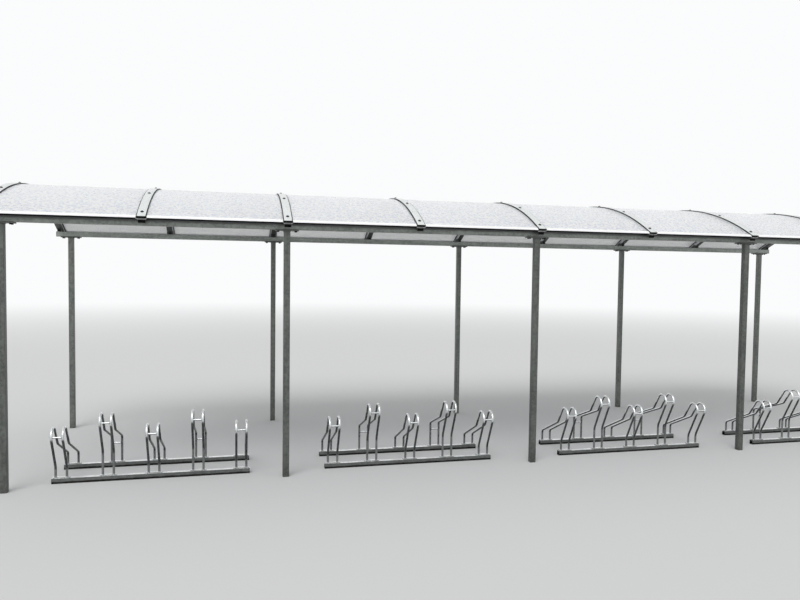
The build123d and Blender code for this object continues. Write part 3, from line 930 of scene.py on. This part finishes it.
def frame_finishes(look):
    """Zinc of the posts, beams, plates, ribs, welds and bolts, with painted light and shade on the back
    posts, the beams and the ribs.
    """
    pale, dark = look.zinc_pale, look.zinc_dark
    beam_low, beam_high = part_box("front_beam")
    rise = beam_high.z - beam_low.z
    shadow_start, shadow_full = beam_low.z + rise * 0.42, beam_low.z + rise * 0.80
    rib_shade_full, rib_shade_end = beam_high.z + 0.025, beam_high.z + 0.040
    # Painted light and shade: the back posts and the beams are the front posts' zinc painted paler, as lit
    # copies, and the front beam turns to painted shade towards its top, under the eave.
    zinc_finish("zinc_front_post", pale, dark, UPRIGHT, splash=0.7)
    zinc_finish("zinc_back_post", toned(pale, 1.35), toned(dark, 1.35), UPRIGHT, splash=0.7)
    zinc_finish("zinc_front_beam", toned(pale, 2.2), toned(dark, 2.0), LEVEL, painted_shade=look.zinc_painted_shade,
                painted_shade_span=(shadow_start, shadow_full))
    zinc_finish("zinc_back_beam", toned(pale, 2.5), toned(dark, 2.5), LEVEL)
    zinc_finish("zinc_plate", pale, dark, (0.6, 1.0, 1.0), crystal=0.012)
    # Painted light and shade on the ribs: near-white sides as lit faces, a darker tone on the faces that
    # look down, and painted shade on the low rib ends out past the beams.
    zinc_finish("zinc_rib", look.rib_side_painted_light, toned(look.rib_side_painted_light, 0.88), ACROSS, metallic=0.1,
                painted_light_tone=toned(pale, 0.62), painted_light_span=(-0.5, -0.9), painted_shade=toned(look.zinc_painted_shade, 0.6),
                painted_shade_span=(rib_shade_end, rib_shade_full))
    zinc_finish("zinc_end_rib", pale, dark, ACROSS)
    zinc_finish("zinc_weld", pale, dark, EVEN, crystal=0.004, relief=0.001)
    zinc_finish("dark_bolt", look.bolt, toned(look.bolt, 0.6), EVEN, crystal=0.003,
                smooth=0.3, rough=0.5, metallic=0.6)


def rack_finishes(look, rack):
    """Wet zinc of the racks, with painted light where it looks up and on the hook crowns, and a painted
    shadow along the foot of the rails.
    """
    rail_shadow_full, rail_shadow_end = 0.011, 0.020
    crown_highlight_start, crown_highlight_full = 0.110, 0.080
    zinc_finish("zinc_rail", look.rail, toned(look.rail, 0.70), LEVEL, smooth=0.24, rough=0.46,
                metallic=0.9, splash=0.35, painted_light_tone=look.rail_top_painted_light, painted_light_span=(0.3, 0.9),
                painted_shade=look.rail_foot_painted_shadow, painted_shade_span=(rail_shadow_end, rail_shadow_full))
    dark = toned(look.bar, 0.45)
    # Painted light: the wet bars and braces take the pale upper-side tone on the faces that look up, and
    # the bars over their hook crowns as a painted highlight.
    wet_with_painted_sky = {"smooth": 0.20, "rough": 0.40, "metallic": 0.9, "painted_light_tone": look.sky}
    zinc_finish("zinc_brace", look.bar, dark, (0.15, 1.0, 1.0), painted_light_span=(-0.45, 0.05), **wet_with_painted_sky)
    for kind, hook in (("low", rack.low_hook), ("high", rack.high_hook)):
        zinc_finish(f"zinc_bar_{kind}", look.bar, dark, (1.0, 1.0, 0.15), splash=0.25,
                    painted_light_span=(-0.10, 0.22),
                    crown_highlight_span=(hook - crown_highlight_start, hook - crown_highlight_full), **wet_with_painted_sky)


def roof_finishes(look):
    """Opal sheets, pale trim, rubber and moulded plastic."""
    opal_finish(look.opal)
    trim_finish("aluminium_base", look.base, ACROSS, metallic=0.0, worn=0.95)
    trim_finish("aluminium_strip", look.strip, ACROSS)
    trim_finish("edge_profile", look.profile, LEVEL, metallic=0.0, worn=0.97)
    dull_finish("dull_rubber", look.rubber)
    dull_finish("moulded_plug", look.plastic, bloom=0.1, smooth=0.3, rough=0.5)


def material(name):
    """A finish by name. All finishes are made on first use."""
    if "zinc_plate" not in bpy.data.materials:
        settings = bpy.context.scene.bike_shelter
        for effect in (zinc_bloom, rain_beads, ground_splash, sky_side, height_band, dull_skin):
            effect()
        frame_finishes(settings.finish)
        rack_finishes(settings.finish, settings.rack)
        roof_finishes(settings.finish)
    found = bpy.data.materials.get(name)
    if found is None:
        raise RuntimeError(f"no finish named {name}")
    return found


def finish_nodes(names, finish):
    """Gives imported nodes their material."""
    for name in names:
        slots = frame["nodes"][name].material_slots
        if not slots:
            raise RuntimeError(f"{name} has no material slot")
        for slot in slots:
            slot.material = finish


# Places worked out from the settings


def roof_arch(roof):
    """Top radius of the strips, height of the arch's centre, and half angles of sheets and strips."""
    strip_radius = roof.radius + roof.gasket + roof.strip
    sheet_end = math.asin(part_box(SHEETS[0])[1].y / roof.radius)
    strip_end = math.asin(roof.reach / roof.radius) + roof.overrun / roof.radius
    return strip_radius, STRIP_TOP - strip_radius, sheet_end, strip_end


def post_heads(height):
    """Points over the middles of all posts, at one height."""
    return [Vector((middle(post).x, middle(post).y, height)) for post in POSTS]


def place_offsets(rack):
    """Distances of the wheel places from the middle of their rack, low and high ones by turns."""
    return [(number - (rack.places - 1) / 2) * rack.pitch for number in range(rack.places)]


def bar_foot(number):
    """Height of the bars' feet on the saddles of one rack."""
    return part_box(f"rack_{number}_holders")[0].z


def meet(point_a, angle_a, point_b, angle_b):
    """Point where two lines meet, each given by a point and its direction."""
    way_a = Vector((math.cos(angle_a), math.sin(angle_a)))
    way_b = Vector((math.cos(angle_b), math.sin(angle_b)))
    gap = Vector(point_b) - Vector(point_a)
    return Vector(point_a) + way_a * (gap.cross(way_b) / way_a.cross(way_b))


def bar_path(rack, foot, shoulder, hook_height, back_height, slope):
    """Corners of one bar in side view, from the front rail to the back rail, and its hook's centre."""
    rise = hook_height - rack.bar / 2 - rack.hook
    lean, back = rack.front_lean, rack.back_lean
    centre = Vector(((rack.hook - math.sin(lean) * (rise - shoulder)) / math.cos(lean), rise))
    front_way, back_way = math.pi / 2 + lean, math.pi / 2 + back
    crown_way = (front_way + back_way) / 2
    crown = centre + rack.hook * Vector((math.cos(crown_way), math.sin(crown_way)))
    inner_leg = centre + rack.hook * Vector((math.cos(back), math.sin(back)))
    back_top = Vector((rack.depth, back_height))
    corners = [
        Vector((0, foot)),
        Vector((0, shoulder)),
        meet((0, shoulder), front_way, crown, crown_way - math.pi / 2),
        meet(inner_leg, back_way, crown, crown_way - math.pi / 2),
        meet(inner_leg, back_way, back_top, math.pi - slope),
        back_top,
        Vector((rack.depth, foot)),
    ]
    return corners, centre


# Operators, one for each group of pieces


class SHELTER_OT_posts_and_beams(bpy.types.Operator):
    """Weathered zinc on posts, head plates and beams, with weld beads and end caps"""

    bl_idname = "shelter.posts_and_beams"
    bl_label = "Posts and Beams"

    def execute(self, context):
        finish_nodes(["head_plates"], material("zinc_plate"))
        for row in ("front", "back"):
            finish_nodes(nodes_like(f"{row}_post_"), material(f"zinc_{row}_post"))
            finish_nodes([f"{row}_beam"], material(f"zinc_{row}_beam"))
        finish_nodes(["beam_end_caps"], material("moulded_plug"))
        bead = context.scene.bike_shelter.frame.bead
        low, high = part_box(POSTS[0])
        ring = high.x - low.x + bead * 0.3
        build_piece("post_welds", shared_tree("Weld Rings", weld_rings), material("zinc_weld"),
                    {"Width": ring, "Depth": ring, "Corner": 0.006, "Bead": bead, "Ripple": 0.0016,
                     "Round": 8, "Steps": 120},
                    points_mesh("post_weld_points", post_heads(HEADROOM - bead * 0.25)))
        return {"FINISHED"}


class SHELTER_OT_head_bolts(bpy.types.Operator):
    """Dark hexagon bolts that hold the beams on the head plates"""

    bl_idname = "shelter.head_bolts"
    bl_label = "Head Bolts"

    def execute(self, context):
        sizes = context.scene.bike_shelter.frame
        build_piece("head_bolts", head_bolts(), material("dark_bolt"),
                    {"Along": sizes.bolt_x, "Across": sizes.bolt_y, "Diameter": sizes.bolt},
                    points_mesh("head_bolt_points", post_heads(HEADROOM)))
        return {"FINISHED"}


class SHELTER_OT_ribs(bpy.types.Operator):
    """Zinc on ribs and cleats, black plugs in the rib ends, aluminium bases and rubber beds on top"""

    bl_idname = "shelter.ribs"
    bl_label = "Ribs"

    def execute(self, context):
        finish_nodes(RIBS[1:-1], material("zinc_rib"))
        finish_nodes([RIBS[0], RIBS[-1]], material("zinc_end_rib"))
        finish_nodes(["rib_cleats"], material("zinc_plate"))
        finish_nodes(["rib_end_plugs"], material("moulded_plug"))
        finish_nodes(["base_profiles"], material("aluminium_base"))
        finish_nodes(["rib_beds"], material("dull_rubber"))
        return {"FINISHED"}


class SHELTER_OT_roof_sheets(bpy.types.Operator):
    """Smooth opal sheets between the ribs, wet on top"""

    bl_idname = "shelter.roof_sheets"
    bl_label = "Roof Sheets"

    def execute(self, context):
        roof = context.scene.bike_shelter.roof
        _, centre, sheet_end, _ = roof_arch(roof)
        for name, sheets in (
                ("opal_sheets_inner", SHEETS[1:-1]),
                ("opal_sheet_left", SHEETS[:1]),
                ("opal_sheet_right", SHEETS[-1:])):
            low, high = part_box(sheets[0])
            build_piece(name, shared_tree("Arched Band", arched_band), material("rainy_opal"),
                        {"Radius": roof.radius, "Thickness": roof.sheet, "Half Angle": sheet_end,
                         "Width": high.x - low.x, "Edge": 0.0012, "Arch Centre": centre, "Steps": 128,
                         "First": middle(sheets[0]).x, "Pitch": RIB_PITCH, "Count": len(sheets)},
                        replaced=sheets)
        return {"FINISHED"}


class SHELTER_OT_cover_strips(bpy.types.Operator):
    """Smooth aluminium strips on black gaskets over every rib"""

    bl_idname = "shelter.cover_strips"
    bl_label = "Cover Strips"

    def execute(self, context):
        roof = context.scene.bike_shelter.roof
        strip_radius, centre, _, strip_end = roof_arch(roof)
        for name, node, finish, slot, top, thickness, width, edge in (
                ("smooth_gaskets", "strip_gaskets", "dull_rubber", "black_rubber",
                 roof.radius + roof.gasket, roof.gasket, roof.gasket_width, 0.0012),
                ("smooth_strips", "cover_strips", "aluminium_strip", "aluminium_trim",
                 strip_radius, roof.strip, roof.strip_width, 0.0010)):
            build_piece(name, shared_tree("Arched Band", arched_band), material(finish),
                        {"Radius": top, "Thickness": thickness, "Half Angle": strip_end,
                         "Width": width, "Edge": edge, "Arch Centre": centre, "Steps": 112,
                         "First": FIRST_X, "Pitch": RIB_PITCH, "Count": RIB_COUNT},
                        replaced=[node])
        return {"FINISHED"}


class SHELTER_OT_strip_screws(bpy.types.Operator):
    """Black screws along the cover strips"""

    bl_idname = "shelter.strip_screws"
    bl_label = "Strip Screws"

    def execute(self, context):
        roof = context.scene.bike_shelter.roof
        strip_radius, centre, _, strip_end = roof_arch(roof)
        build_piece("strip_screws", strip_screws(), material("moulded_plug"),
                    {"Radius": strip_radius, "Arch Centre": centre,
                     "Half Angle": strip_end - roof.screw_inset / strip_radius,
                     "Per Strip": roof.screws, "Washer": roof.screw_washer,
                     "First": FIRST_X, "Pitch": RIB_PITCH, "Count": RIB_COUNT})
        return {"FINISHED"}


class SHELTER_OT_eave_trim(bpy.types.Operator):
    """White profiles with sloping noses and black lips along both eaves, and black gasket ends"""

    bl_idname = "shelter.eave_trim"
    bl_label = "Eave Trim"

    # Thickness of each lip, and its place outward from the end of the sheets or strips and upward
    # from the middle of the sheets
    nose_plate, nose_out, nose_up, nose_lean = 0.002, 0.0068, 0.0036, math.radians(60)
    drip_plate, drip_out, drip_up = 0.003, 0.0100, 0.0010
    end_plate, end_out = 0.002, -0.0007

    def execute(self, context):
        finish_nodes(nodes_like("front_edge", "back_edge"), material("edge_profile"))
        roof = context.scene.bike_shelter.roof
        _, centre, sheet_end, strip_end = roof_arch(roof)
        tree = eave_lips()
        sheet_middle = roof.radius - roof.sheet / 2
        low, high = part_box("front_edge_profiles")
        eave = {"Arch Centre": centre, "Half Angle": sheet_end, "First": FIRST_X + RIB_PITCH / 2,
                "Length": (high.x - low.x) - RIB_PITCH * (RIB_COUNT - 2),
                "Pitch": RIB_PITCH, "Count": RIB_COUNT - 1}
        build_piece("profile_noses", tree, material("edge_profile"),
                    {**eave, "Thickness": self.nose_plate, "Height": roof.nose, "Lean": self.nose_lean,
                     "Outward": self.nose_out, "Radius": sheet_middle + self.nose_up})
        build_piece("drip_lips", tree, material("dull_rubber"),
                    {**eave, "Thickness": self.drip_plate, "Height": roof.lip,
                     "Outward": self.drip_out, "Radius": sheet_middle + self.drip_up - roof.lip / 2},
                    replaced=nodes_like("front_drip", "back_drip"))
        low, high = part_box("strip_gaskets")
        build_piece("gasket_ends", tree, material("dull_rubber"),
                    {"Arch Centre": centre, "Half Angle": strip_end, "First": FIRST_X,
                     "Length": (high.x - low.x) - RIB_PITCH * (RIB_COUNT - 1),
                     "Pitch": RIB_PITCH, "Count": RIB_COUNT,
                     "Thickness": self.end_plate, "Height": roof.end_lip, "Outward": self.end_out,
                     "Radius": roof.radius + roof.gasket - roof.end_lip / 2})
        return {"FINISHED"}


class SHELTER_OT_rack_rails(bpy.types.Operator):
    """Wet zinc on the rails of the racks, with weld beads round their saddles"""

    bl_idname = "shelter.rack_rails"
    bl_label = "Rack Rails"

    def execute(self, context):
        finish_nodes(RAILS, material("zinc_rail"))
        rack = context.scene.bike_shelter.rack
        saddles = []
        for number, rails in enumerate(RAILS, 1):
            spot = middle(rails)
            top = bar_foot(number) - rack.saddle_rise
            for side in (-1, 1):
                for offset in place_offsets(rack):
                    saddles.append(Vector((spot.x + offset, spot.y + side * rack.depth / 2, top)))
        build_piece("saddle_welds", shared_tree("Weld Rings", weld_rings), material("zinc_rail"),
                    {"Width": rack.saddle_length, "Depth": rack.saddle_width, "Corner": 0.004,
                     "Bead": rack.saddle_bead, "Ripple": 0.010, "Round": 6, "Steps": 90},
                    points_mesh("saddle_points", saddles))
        return {"FINISHED"}


class SHELTER_OT_rack_holders(bpy.types.Operator):
    """Smooth bent bars with their braces and weld beads"""

    bl_idname = "shelter.rack_holders"
    bl_label = "Rack Holders"

    # Bend radii at the corners of a bar, from the front rail to the back rail
    bends = (0.0, 0.090, 0.058, 0.058, 0.050, 0.032, 0.0)

    def execute(self, context):
        rack = context.scene.bike_shelter.rack
        tree = bent_bars()
        offsets = place_offsets(rack)
        low_form = (rack.low_shoulder, rack.low_hook, rack.low_back, rack.low_slope)
        high_form = (rack.high_shoulder, rack.high_hook, rack.high_back, rack.high_slope)
        braces, feet = [], []
        for number, rails in enumerate(RAILS, 1):
            x, foot = middle(rails).x, bar_foot(number)
            front = middle(rails).y - rack.depth / 2
            back = front + rack.depth
            for kind, places, form in (
                    ("low", offsets[0::2], low_form),
                    ("high", offsets[1::2], high_form)):
                corners, hook = bar_path(rack, foot, *form)
                left = x + places[0] - rack.spacing / 2
                path = [Vector((left, front + corner.x, corner.y)) for corner in corners]
                build_piece(f"rack_{number}_bars_{kind}", tree, material(f"zinc_bar_{kind}"),
                            {"Diameter": rack.bar, "Spacing": rack.spacing,
                             "Pitch": rack.pitch * 2, "Count": len(places)},
                            points_mesh(f"rack_{number}_{kind}_path", path, self.bends),
                            replaced=[f"rack_{number}_holders"])
                for offset in places:
                    braces.append(Vector((x + offset, front + hook.x - rack.hook, hook.y)))
                    if kind == "high":
                        braces.append(Vector((x + offset, back, rack.back_brace)))
                    for side in (-1, 1):
                        for y in (front, back):
                            feet.append(Vector((x + offset + side * rack.spacing / 2, y, foot)))
        build_piece("brace_bars", short_braces(), material("zinc_brace"),
                    {"Diameter": rack.brace, "Length": rack.spacing - rack.bar},
                    points_mesh("brace_points", braces), replaced=["rack_braces"])
        ring = rack.bar + rack.weld * 0.35
        build_piece("bar_foot_welds", shared_tree("Weld Rings", weld_rings), material("zinc_rail"),
                    {"Width": ring, "Depth": ring, "Corner": ring / 2, "Bead": rack.weld,
                     "Ripple": 0.0012, "Round": 6, "Steps": 28},
                    points_mesh("foot_points", feet))
        return {"FINISHED"}


def shown_rays(tree):
    """Is 1 for rays from the camera, off a gloss or through a sheet, and 0 for light that spreads."""
    rays = tree.add("ShaderNodeLightPath").outputs
    passed_on = tree.math("MAXIMUM", rays["Is Glossy Ray"], rays["Is Transmission Ray"])
    return tree.math("MAXIMUM", rays["Is Camera Ray"], passed_on)


class SHELTER_OT_stage(bpy.types.Operator):
    """Pale floor, soft light and the camera"""

    bl_idname = "shelter.stage"
    bl_label = "Stage"

    floor_half = 60.0
    bounce_grey = (0.36, 0.36, 0.36, 1.0)
    white = (1.0, 1.0, 1.0, 1.0)
    top_share = 0.35
    picture_width = 800.0

    def execute(self, context):
        sizes = context.scene.bike_shelter.stage
        scene = context.scene
        scene.view_settings.view_transform = "Standard"
        self.make_floor(scene, sizes)
        self.make_light(scene, sizes)
        self.make_camera(scene, sizes)
        return {"FINISHED"}

    def make_floor(self, scene, sizes):
        """A pale floor that fades into the backdrop and passes on a greyer light."""
        half = self.floor_half
        mesh = bpy.data.meshes.new("floor")
        mesh.from_pydata([(-half, -half, 0), (half, -half, 0), (half, half, 0), (-half, half, 0)],
                         [], [(0, 1, 2, 3)])
        floor = bpy.data.objects.new("floor", mesh)
        scene.collection.objects.link(floor)
        floor_material = bpy.data.materials.new("pale_floor")
        floor_material.use_nodes = True
        paint = Tree(floor_material.node_tree)
        paint.tree.nodes.clear()
        near = paint.add("ShaderNodeBsdfDiffuse", {"Color": rgba(sizes.floor)}).outputs[0]
        far = paint.add("ShaderNodeEmission", {"Color": rgba(sizes.backdrop)}).outputs[0]
        place = paint.add("ShaderNodeTexCoord").outputs["Object"]
        reach = paint.add("ShaderNodeVectorMath", {0: place}, operation="LENGTH").outputs["Value"]
        fade = paint.span(reach, *sizes.fade)
        seen = paint.add("ShaderNodeMixShader", {0: fade, 1: near, 2: far}).outputs[0]
        bounce = paint.add("ShaderNodeBsdfDiffuse", {"Color": self.bounce_grey}).outputs[0]
        mixed = paint.add("ShaderNodeMixShader", {0: shown_rays(paint), 1: bounce, 2: seen}).outputs[0]
        paint.add("ShaderNodeOutputMaterial", {"Surface": mixed})
        mesh.materials.append(floor_material)

    def make_light(self, scene, sizes):
        """Even light from all round, a soft key light from the front and a weak one from above."""
        world = bpy.data.worlds.new("studio")
        world.use_nodes = True
        scene.world = world
        sky = Tree(world.node_tree)
        sky.tree.nodes.clear()
        pale = sky.add("ShaderNodeBackground", {"Color": rgba(sizes.backdrop), "Strength": 1.0}).outputs[0]
        dome = sky.add("ShaderNodeBackground", {"Color": self.white, "Strength": sizes.dome}).outputs[0]
        mixed = sky.add("ShaderNodeMixShader", {0: shown_rays(sky), 1: dome, 2: pale}).outputs[0]
        sky.add("ShaderNodeOutputWorld", {"Surface": mixed})
        # The turn about x, y and z and the width of the light's source are in degrees
        for name, strength, turn, spread in (
                ("key_light", sizes.key, (42, 0, -28), 42),
                ("top_light", sizes.key * self.top_share, (8, 0, 0), 100)):
            lamp = bpy.data.lights.new(name, "SUN")
            lamp.energy = strength
            lamp.angle = math.radians(spread)
            light = bpy.data.objects.new(name, lamp)
            light.rotation_euler = [math.radians(angle) for angle in turn]
            scene.collection.objects.link(light)

    def make_camera(self, scene, sizes):
        """A camera turned by yaw, pitch and roll, in this order."""
        level_ahead = Vector((math.sin(sizes.yaw), math.cos(sizes.yaw), 0.0))
        level_right = Vector((math.cos(sizes.yaw), -math.sin(sizes.yaw), 0.0))
        ahead = level_ahead * math.cos(sizes.pitch) + Vector((0.0, 0.0, math.sin(sizes.pitch)))
        level_up = level_right.cross(ahead)
        right = level_right * math.cos(sizes.roll) + level_up * math.sin(sizes.roll)
        up = level_up * math.cos(sizes.roll) - level_right * math.sin(sizes.roll)
        data = bpy.data.cameras.new("camera")
        data.sensor_width = 36.0
        data.lens = sizes.focal * data.sensor_width / self.picture_width
        data.shift_x = -sizes.shift[0] / self.picture_width
        data.shift_y = sizes.shift[1] / self.picture_width
        data.clip_end = 200.0
        camera = bpy.data.objects.new("camera", data)
        turn = Matrix((right, up, -ahead)).transposed()
        camera.matrix_world = Matrix.Translation(sizes.place) @ turn.to_4x4()
        scene.collection.objects.link(camera)
        scene.camera = camera


STEPS = (
    SHELTER_OT_posts_and_beams,
    SHELTER_OT_head_bolts,
    SHELTER_OT_ribs,
    SHELTER_OT_roof_sheets,
    SHELTER_OT_cover_strips,
    SHELTER_OT_strip_screws,
    SHELTER_OT_eave_trim,
    SHELTER_OT_rack_rails,
    SHELTER_OT_rack_holders,
    SHELTER_OT_stage,
)


class SHELTER_PT_panel(bpy.types.Panel):
    """Lists the steps and the settings of the bike shelter"""

    bl_label = "Bike Shelter"
    bl_idname = "SHELTER_PT_panel"
    bl_space_type = "VIEW_3D"
    bl_region_type = "UI"
    bl_category = "Shelter"

    def draw(self, context):
        settings = context.scene.bike_shelter
        for group in (settings.roof, settings.frame, settings.rack, settings.finish, settings.stage):
            box = self.layout.box()
            for name in group.__annotations__:
                box.prop(group, name)
        for step in STEPS:
            self.layout.operator(step.bl_idname)


CLASSES = (
    RoofSettings, FrameSettings, RackSettings, FinishSettings, StageSettings, ShelterSettings,
    *STEPS, SHELTER_PT_panel,
)


def register():
    """Adds the classes and hangs the settings on the scene."""
    for cls in CLASSES:
        bpy.utils.register_class(cls)
    bpy.types.Scene.bike_shelter = bpy.props.PointerProperty(type=ShelterSettings)


def unregister():
    """Takes the settings and the classes away again."""
    del bpy.types.Scene.bike_shelter
    for cls in reversed(CLASSES):
        bpy.utils.unregister_class(cls)


def main():
    """Registers the add-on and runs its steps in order."""
    register()
    bpy.ops.shelter.posts_and_beams()
    bpy.ops.shelter.head_bolts()
    bpy.ops.shelter.ribs()
    bpy.ops.shelter.roof_sheets()
    bpy.ops.shelter.cover_strips()
    bpy.ops.shelter.strip_screws()
    bpy.ops.shelter.eave_trim()
    bpy.ops.shelter.rack_rails()
    bpy.ops.shelter.rack_holders()
    bpy.ops.shelter.stage()


if __name__ == "__main__":
    main()
